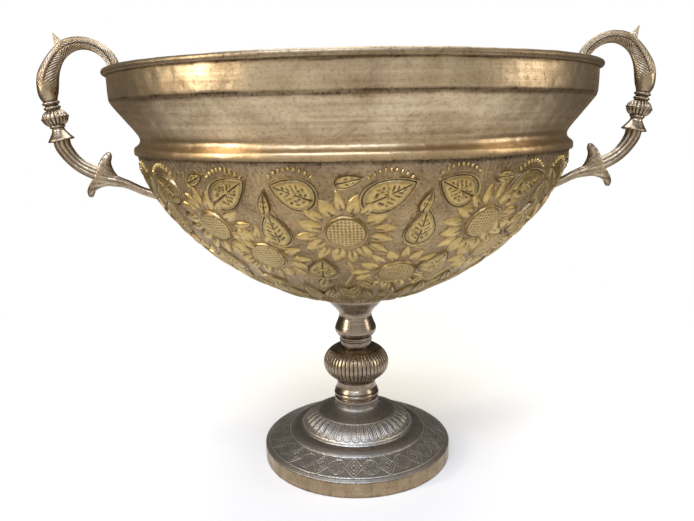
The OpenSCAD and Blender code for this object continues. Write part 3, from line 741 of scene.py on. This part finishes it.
# %% Foot dome with its engraving
foot_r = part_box("foot_rim")[1].x / MM
rim_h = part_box("foot_dome")[0].z / MM
foot_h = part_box("foot_collar")[0].z / MM
cone_r, tongue_r, step_r, border_r = foot_r * 0.41, foot_r * 0.595, foot_r * 0.73, foot_r - 2.5
neck_r = 18.6
foot_line = np.concatenate([
    [[foot_r - 4.4, rim_h]], [[foot_r, rim_h]],
    through([[foot_r - 0.4, rim_h + 0.4], [border_r, rim_h + 1.8]], 0.8),
    through([[border_r - 0.3, rim_h + 2], [step_r, foot_h * 0.47]], 0.62),
    through([[step_r - 0.6, foot_h * 0.49], [step_r - 4, foot_h * 0.525],
             [tongue_r + 1, foot_h * 0.55]], 1.2),
    through([[tongue_r, foot_h * 0.575], [tongue_r - 3, foot_h * 0.63],
             [(tongue_r + cone_r) / 2, foot_h * 0.71], [cone_r, foot_h * 0.79]], 0.62),
    through([[cone_r - 0.6, foot_h * 0.795], [cone_r - 4, foot_h * 0.82],
             [neck_r + 5, foot_h * 0.86], [neck_r + 1.4, foot_h * 0.9],
             [neck_r, foot_h * 0.95], [neck_r, foot_h]], 1.3)])
hub_r, hub_z = neck_r - 1.6, foot_h - 9
hollow = [[rod_hole, foot_h], [rod_hole, hub_z], [hub_r, hub_z],
          [cone_r - 3, foot_h * 0.79 - 2.4], [(tongue_r + cone_r) / 2 - 1.2, foot_h * 0.71 - 1.8],
          [tongue_r - 1.2, foot_h * 0.575 - 2.4], [step_r - 1.6, foot_h * 0.47 - 1.8]]
foot_section = np.concatenate([foot_line, hollow])
turns = 800
angles = np.arange(turns) * 2 * pi / turns
radii = foot_section[:, 0][:, None]
on_top = (np.arange(len(foot_section)) < len(foot_line))[:, None] & (radii > neck_r + 1)


def engraved(distance, width=0.42):
    """Depth of a cut and the burr beside it, for a distance from the line in millimetres."""
    return groove(distance, width) - 0.35 * groove(np.abs(distance) - 2.1 * width, width)


def tongues(count, inner, outer):
    """Double-lined tongues with round ends, from an inner to an outer radius."""
    cell = (angles * count / (2 * pi) % 1 - 0.5)[None, :]
    aside = cell * 2 * pi / count * radii
    half = 0.37 * 2 * pi * radii / count
    past = np.maximum(radii - (outer - half), 0)
    distance = np.where(past > 0, np.hypot(aside, past), np.abs(aside)) - half
    inside = (radii > inner) & (radii < outer + 1.6)
    return (engraved(distance) + 0.8 * engraved(distance + 1.25)) * inside


def border(pairs, middle):
    """Circles with a six-petalled flower, between lozenges, on a hatched ground."""
    cell = angles * pairs * 2 / (2 * pi)
    is_circle = (np.floor(cell) % 2 == 0)[None, :]
    grown = 1.25
    aside = ((cell % 1) - 0.5)[None, :] * pi / pairs * middle / grown
    along = (radii - middle) / (0.92 * grown)
    from_middle, bearing = np.hypot(aside, along), np.arctan2(along, aside)
    ring = engraved(from_middle - 5.6) + 0.8 * engraved(from_middle - 4.5, 0.35)
    rosette = engraved(from_middle - 3.4 * np.abs(np.cos(3 * bearing)) - 0.5, 0.4) * (from_middle < 4)
    lozenge = np.abs(aside) / 6 + np.abs(along) / 8.2 - 1
    diamond = engraved(lozenge * 4.9) + 0.8 * engraved(lozenge * 4.9 + 1.7, 0.35)
    diamond = diamond + engraved((lozenge + 0.68) * 4.9, 0.35)
    drawn = np.where(is_circle, ring + rosette, diamond)
    ground = np.where(is_circle, from_middle > 6, lozenge > 0.08)
    hatch = 0.33 * (np.sin((aside + along) * 2 * pi / 2.3) > 0.2) * ground
    return (drawn + hatch) * (np.abs(radii - middle) < 9.3)


middle = (step_r + border_r) / 2
lines = sum(engraved(radii - r) for r in (cone_r + 0.4, tongue_r - 0.6, step_r + 0.7, border_r - 0.9))
lines = lines + 0.8 * engraved(radii - step_r - 2.1, 0.35)
cuts = (tongues(38, cone_r + 0.9, tongue_r - 2) + border(16, middle) + lines) * on_top
foot_dirt = 0.12 * np.clip(cuts, 0, 1) + 0.4 * groove(radii - step_r + 0.6, 1.1) * on_top
foot_dirt = foot_dirt + 0.12 * uneven(angles * 3, foot_section[:, 0] * 2) + 0.5 * ~on_top
# Painted highlight: the engraved lines and hatching are painted pale for the light that their burr
# catches.
painted_burr_highlight = 0.85 * np.clip(cuts, 0, 1) * on_top
piece("engraved_foot", [spun(foot_section, turns, -0.3 * cuts, foot_dirt, painted_burr_highlight)],
      foot_plate, ["foot_dome"])

# %% [markdown]
# ## Foot rim
# The rim is a turned hoop that takes all the knocks, so its plate has gone and the golden metal
# shows. Small dents and a rounded lower edge are enough.

# %% Foot rim
ledge, wall = 4.4, 3
rim_side = through([[foot_r, 0.9], [foot_r, rim_h / 2], [foot_r, rim_h]], 0.7)
rim_section = np.concatenate([
    [[foot_r - wall, 0], [foot_r - 0.9, 0], [foot_r - 0.3, 0.25]], rim_side,
    [[foot_r - ledge, rim_h], [foot_r - ledge, rim_h - 1.6], [foot_r - wall, rim_h - 3.2]]])
turns = 420
angles = np.arange(turns) * 2 * pi / turns
levels = rim_section[:, 1]
on_side = ((levels > 0.6) & (levels < rim_h - 0.4) & (rim_section[:, 0] > foot_r - 0.5))[:, None]
dents = -0.1 + 0.1 * uneven(angles * 5, levels * 3) * on_side
edge_dirt = 0.55 * groove(levels[:, None] - rim_h, 1.2) + 0.5 * groove(levels[:, None], 1.3)
piece("foot_hoop", [spun(rim_section, turns, dents * on_side,
                         edge_dirt + 0.2 * uneven(angles * 6, levels * 0.2), 0.08 * on_side)],
      foot_edge, ["foot_rim"])

# %% [markdown]
# ## Drawing a bar along a curve
# The handle castings are bars that bend in one upright plane. The next function draws an oval
# section along such a line. Its relief is again a rule, this time of the distance along the line
# and the way round the bar, which starts at the outside of the bend.

# %% One bar along a line
def bar(stops, thick, wide, across=40, step=0.55, rule=None, square=2):
    """A bar through stops of (x, z). thick and wide are half sizes at the stops, in and out of
    the plane; rule gives lift, patina and gilt; square above 2 makes the section boxier."""
    sizes = through(np.column_stack([stops, thick, wide]), step)
    line = sizes[:, :2]
    ahead = np.gradient(line, axis=0)
    ahead /= np.linalg.norm(ahead, axis=1)[:, None]
    along = np.concatenate(([0], np.cumsum(np.linalg.norm(np.diff(line, axis=0), axis=1))))
    way = np.arange(across) * 2 * pi / across
    c, s = np.cos(way), np.sin(way)
    full = (np.abs(c) ** square + np.abs(s) ** square) ** (-1 / square)
    lift, patina_and_shade, wear_and_highlight = rule(along[:, None], way[None, :]) if rule else (0, 0, 0)
    in_plane = full * c * np.abs(sizes[:, 2:3]) + lift * c
    out = full * s * np.abs(sizes[:, 3:4]) + lift * s
    points = np.stack([line[:, :1] - ahead[:, 1:] * in_plane, -out,
                       line[:, 1:] + ahead[:, :1] * in_plane], axis=2)
    faces = grid_faces(len(line), across, False)
    faces += [list(range(across)), [(len(line) - 1) * across + i for i in range(across)]]
    marks = [np.broadcast_to(m, (len(line), across)).ravel() for m in (patina_and_shade, wear_and_highlight)]
    return points.reshape(-1, 3), faces, *marks


def moved(form, lean=0, to=(0, 0), side=1):
    """A form leaned in the handle's plane, moved to (x, z), and mirrored for the left side."""
    points, faces, patina_and_shade, wear_and_highlight = form
    x = points[:, 0] * cos(lean) + points[:, 2] * sin(lean) + to[0]
    z = points[:, 2] * cos(lean) - points[:, 0] * sin(lean) + to[1]
    return np.stack([x * side, points[:, 1], z], axis=1), faces, patina_and_shade, wear_and_highlight


# %% [markdown]
# ## Scroll
# The handle's arch is modelled as a feather: a midrib runs down each flank, and barbs sweep from
# it towards the spur on the shoulder of the arch. Below the last barbs the casting swells and
# stays plain. A saddle carries the arch over the rolled rim to a lug riveted inside the wall.

# %% Scroll with its feather cuts
anchor = (rim_r, rim_z)
stack_lean = radians(10.5)
stack_top = np.array((52.3, -21))


def stack_point(s):
    """A point on the axis that the turned pieces share, s mm below the scroll's end."""
    return stack_top - s * np.array((sin(stack_lean), cos(stack_lean)))


scroll_stops = [(-2.6, 2), (-1.6, 8), (0.4, 12.6), (3.8, 16.8), (9, 20.8), (16.5, 24), (25, 24.8),
                (34.5, 22.3), (42.3, 16), (48.2, 7.5), (52, -1.4), (53.2, -10),
                stack_point(-5), stack_point(0)]
scroll_size = np.array([5, 4.8, 4.7, 4.6, 4.6, 4.8, 5.2, 6, 6.2, 7.2, 8.5, 8.6, 7.9, 6])
spur_at = 57
feather_end = 88


def feather(along, way):
    """Barbs that slant from a midrib on each flank towards the spur."""
    from_midrib = np.abs(np.abs((way + pi) % (2 * pi) - pi) - pi / 2) * 6.2
    barb = (np.abs(along - spur_at) + 1.5 * from_midrib) / 3.0
    cut = (1 - np.abs(np.sin(pi * barb))) ** 1.7
    start = np.clip((along - 2) / 6, 0, 1)
    stop = np.clip((feather_end - along + 0.5 * from_midrib) / 7, 0, 1)
    midrib = groove(from_midrib, 0.75)
    depth = start * stop
    cut, midrib = cut * depth, midrib * depth
    lift = -0.75 * cut - 0.55 * midrib + 0.2 * depth
    return lift, 0.9 * np.maximum(cut, midrib), 0.15 * depth * (1 - cut)


def spur_rule(along, way):
    cut = (1 - np.abs(np.sin(3 * way))) ** 2 * np.clip(along / 4, 0, 1)
    return -0.35 * cut, 0.5 * cut, 0 * cut


spur_stops = [(37, 18), (40.6, 24.6), (43, 29.4), (45.4, 33.6)]
lug_x = -2 * bead_r - 0.3 - 1.9
lug_stops = [(lug_x, -18), (lug_x, -17.3), (lug_x, -8), (lug_x, 0), (lug_x + 1.6, 2.4),
             (lug_x + 5, 3.2), (lug_x + 9, 2.6)]
scroll_forms = [
    bar(scroll_stops, scroll_size, scroll_size * 0.9, 120, 0.5, feather),
    bar(spur_stops, (4.6, 3.6, 2, 0.4), (3.3, 2.6, 1.5, 0.4), 36, 0.5, spur_rule),
    bar(lug_stops, (1.2, 1.9, 1.9, 1.9, 2, 2, 1.2), (5.4, 6.5, 6.5, 6.4, 5.6, 4.9, 4),
        28, 0.9, None, 4)]

# %% [markdown]
# ## Rings, melon knop and bell
# Below the scroll a double ring, a ribbed melon knop and a bell are threaded on a hidden stud.
# Each is turned, so each is spun from its section and then leaned to the stud's angle. The
# melon's ribs are filed in, and the bell's flare is polished bright.

# %% Turned pieces of the handle
bore_r = 2.4
ring_line = through([[5.7, 0], [5.6, -0.8]], 0.5).tolist() \
    + through([[6.2, -1], [6.9, -1.5], [6.9, -2.6], [6.1, -3.2]], 0.3).tolist() \
    + [[5.4, -3.5], [5.3, -4.5]] \
    + through([[6, -4.9], [6.7, -5.4], [6.7, -6.5], [6, -7.1]], 0.3).tolist() \
    + [[5.6, -7.4], [5.6, -8]]
ring_section = np.array([[bore_r, 0], *ring_line, [bore_r, -8]])
ring_dirt = 0.8 * (ring_section[:, :1] < 5.75)
melon_spread = np.radians(np.linspace(56, -52, 30))
melon_r, melon_h = 10.5, 12.5
melon_line = np.stack([melon_r * np.cos(melon_spread) ** 0.9,
                       -8 - melon_h * (sin(radians(56)) - np.sin(melon_spread))
                       / (sin(radians(56)) + sin(radians(52)))], axis=1)
melon_section = np.concatenate([[[bore_r, -8]], melon_line, [[bore_r, -8 - melon_h]]])
ribs = 18
turns = ribs * 14
angles = np.arange(turns) * 2 * pi / turns
waist = np.abs(melon_section[:, 1:] + 8 + melon_h * 0.5)
rib_cut = (1 - np.abs(np.sin(ribs / 2 * angles))[None, :]) ** 1.6 * (melon_section[:, :1] > 5)
ridge = 0.7 * groove(waist, 0.8) * (melon_section[:, :1] > 5)
melon_form = spun(melon_section, turns, ridge - 0.95 * rib_cut * np.clip(waist / 1.6, 0.25, 1),
                  0.8 * rib_cut, 0)
bell_z = -8 - melon_h
bell_line = [[5.2, 0], [6.1, -0.3], [6.3, -1], [6.1, -1.7], [5.1, -2.3], [5, -3]] \
    + through([[5.2, -4.4], [7.2, -7.4], [9.2, -10.2], [10.6, -11.9]], 0.5).tolist() \
    + [[10.5, -12.6], [10.1, -12.9], [9, -12.9], [7.8, -10.4], [4.8, -6.4], [4.5, -5]]
bell_section = np.array([[bore_r, 0], *bell_line, [bore_r, -5]]) + (0, bell_z)
bell_dirt = 0.7 * groove(bell_section[:, 1:] - bell_z + 2.4, 0.7) \
    + 0.6 * (np.arange(len(bell_section)) > len(bell_section) - 6)[:, None]

# %% [markdown]
# ## Arm and leaf collar
# The arm is fluted like a stalk. It ends in a collar of two leaves, one curling up and one down,
# whose ribs fan out from the tail, and a smooth tail runs from between them to the bowl. The
# collar is a pillow over the leaves' outline, with its ribs cut along lines from the tail's start.

# %% Arm, leaves and tail
arm_s = 24.5
arm_end = np.array((20.4, -81.7))
arm_back = np.array((cos(radians(25)), sin(radians(25))))
arm_stops = [stack_point(arm_s - 3), stack_point(arm_s + 5), stack_point(arm_s + 9),
             stack_point(arm_s + 13), (42, -64.4), (37.2, -70.6), (31.4, -75.8),
             arm_end + 6 * arm_back, arm_end - 2 * arm_back]
arm_size = np.array([4.2, 6.2, 6.5, 6.4, 6, 5.6, 5.4, 5.4, 5.4])


def flutes(along, way):
    cut = (1 - np.abs(np.sin(4 * way + 0.4))) ** 1.3 * np.clip(along / 6, 0, 1)
    return 0.3 - 1.05 * cut, 0.75 * cut, 0.1 * (1 - cut)


collar_outline = [(22.9, -87), (27.2, -93.1), (28.8, -97.9), (27.4, -101.9), (24.6, -102.2),
                  (22.8, -98), (18.6, -94.9), (13, -93.2), (5, -92.9), (-1.6, -92.4),
                  (-2.2, -88.6), (2.2, -83.8), (5.2, -78.8), (6.6, -73), (5.6, -66.8),
                  (6.8, -64.3), (9.8, -64.6), (13.4, -67.8), (16.2, -72), (18, -76.4)]
collar_middle = np.array((18.6, -84.2))
fan_from = (-6, -90)
fan_ribs = 19
shares = np.array([0, 0.12, 0.24, 0.36, 0.48, 0.6, 0.7, 0.79, 0.87, 0.93, 0.97, 1])


def collar():
    """A pillow over the leaves' outline, ribbed in a fan that spreads from the tail."""
    edge = through(collar_outline + collar_outline[:1], 0.75)[:-1]
    columns = len(edge)
    flat = collar_middle + (edge - collar_middle)[None] * shares[:, None, None]
    bearing = np.arctan2(flat[..., 1] - fan_from[1], flat[..., 0] - fan_from[0])
    cut = (1 - np.abs(np.sin(fan_ribs * bearing))) ** 1.3
    cut = cut * np.clip((shares[:, None] - 0.1) / 0.3, 0, 1) * (shares[:, None] < 0.99)
    reach = np.linalg.norm(edge - collar_middle, axis=1)[None, :]
    full = 5.6 - 2.4 * np.clip((reach * shares[:, None] - 5) / 16, 0, 1)
    half = full * (1 - shares[:, None] ** 2.6) ** 0.5 - 0.5 * cut * (shares[:, None] < 0.95)
    front = np.stack([flat[..., 0], -half, flat[..., 1]], axis=2)
    back = (front * (1, -1, 1))[::-1][1:]
    points = np.concatenate([front, back]).reshape(-1, 3)
    faces = grid_faces(2 * len(shares) - 1, columns, False)
    darkening = np.concatenate([cut, cut[::-1][1:]]).ravel()
    return points, faces, 0.8 * darkening, 0.12 * (1 - darkening)


tail_z = rim_z - 104
tail_r = np.interp(tail_z, side[::-1, 1], side[::-1, 0])
tail_in = np.array((tail_r - rim_r - 1.2, tail_z - rim_z - 0.2))
tail_stops = [(13, -87.6), (5, -88.6), (-2.6, -90.6), (tail_in + (-2.6, -90.6)) / 2 + (1, -1), tail_in]
tail_size = np.array([5.2, 5, 4, 3.4, 4.4])


def tail_rule(along, way):
    cut = (1 - np.abs(np.sin(4 * way))) ** 1.6 * np.clip((19 - along) / 9, 0, 1)
    return -0.55 * cut, 0.6 * cut, 0 * cut


# %% Both handles
handle_forms = {
    "scroll": scroll_forms,
    "ring_collar": [moved(spun(ring_section, 96, 0, ring_dirt), stack_lean, stack_top)],
    "melon_knop": [moved(melon_form, stack_lean, stack_top)],
    "bell": [moved(spun(bell_section, 96, 0, bell_dirt), stack_lean, stack_top)],
    "arm": [bar(arm_stops, arm_size, arm_size * 0.95, 56, 0.8, flutes)],
    "leaf_collar": [collar(), bar(tail_stops, tail_size, tail_size * 0.95, 40, 0.9, tail_rule)]}
for side_name, mirror in (("left", -1), ("right", 1)):
    for part, part_forms in handle_forms.items():
        placed = [moved(form, 0, anchor, mirror) for form in part_forms]
        piece(f"{side_name}_{part}_casting", placed, cast_silver,
              [f"{side_name}_{part}"], crisp=55)

# %% [markdown]
# ## Fixings
# The rod, studs, nuts and washers are machined and hardly seen, and the rim rivets are brass.
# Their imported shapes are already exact, so each one only takes its metal.

# %% Fixings
for name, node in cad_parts.items():
    if node.hide_render or name in ("bowl_boss", "upper_stem", "joint_ring", "lower_stem",
                                    "foot_collar"):
        continue
    node.data.materials.clear()
    node.data.materials.append(rivet_brass if name.endswith("rivet") else fixing_steel)
    print("fixing:", name)
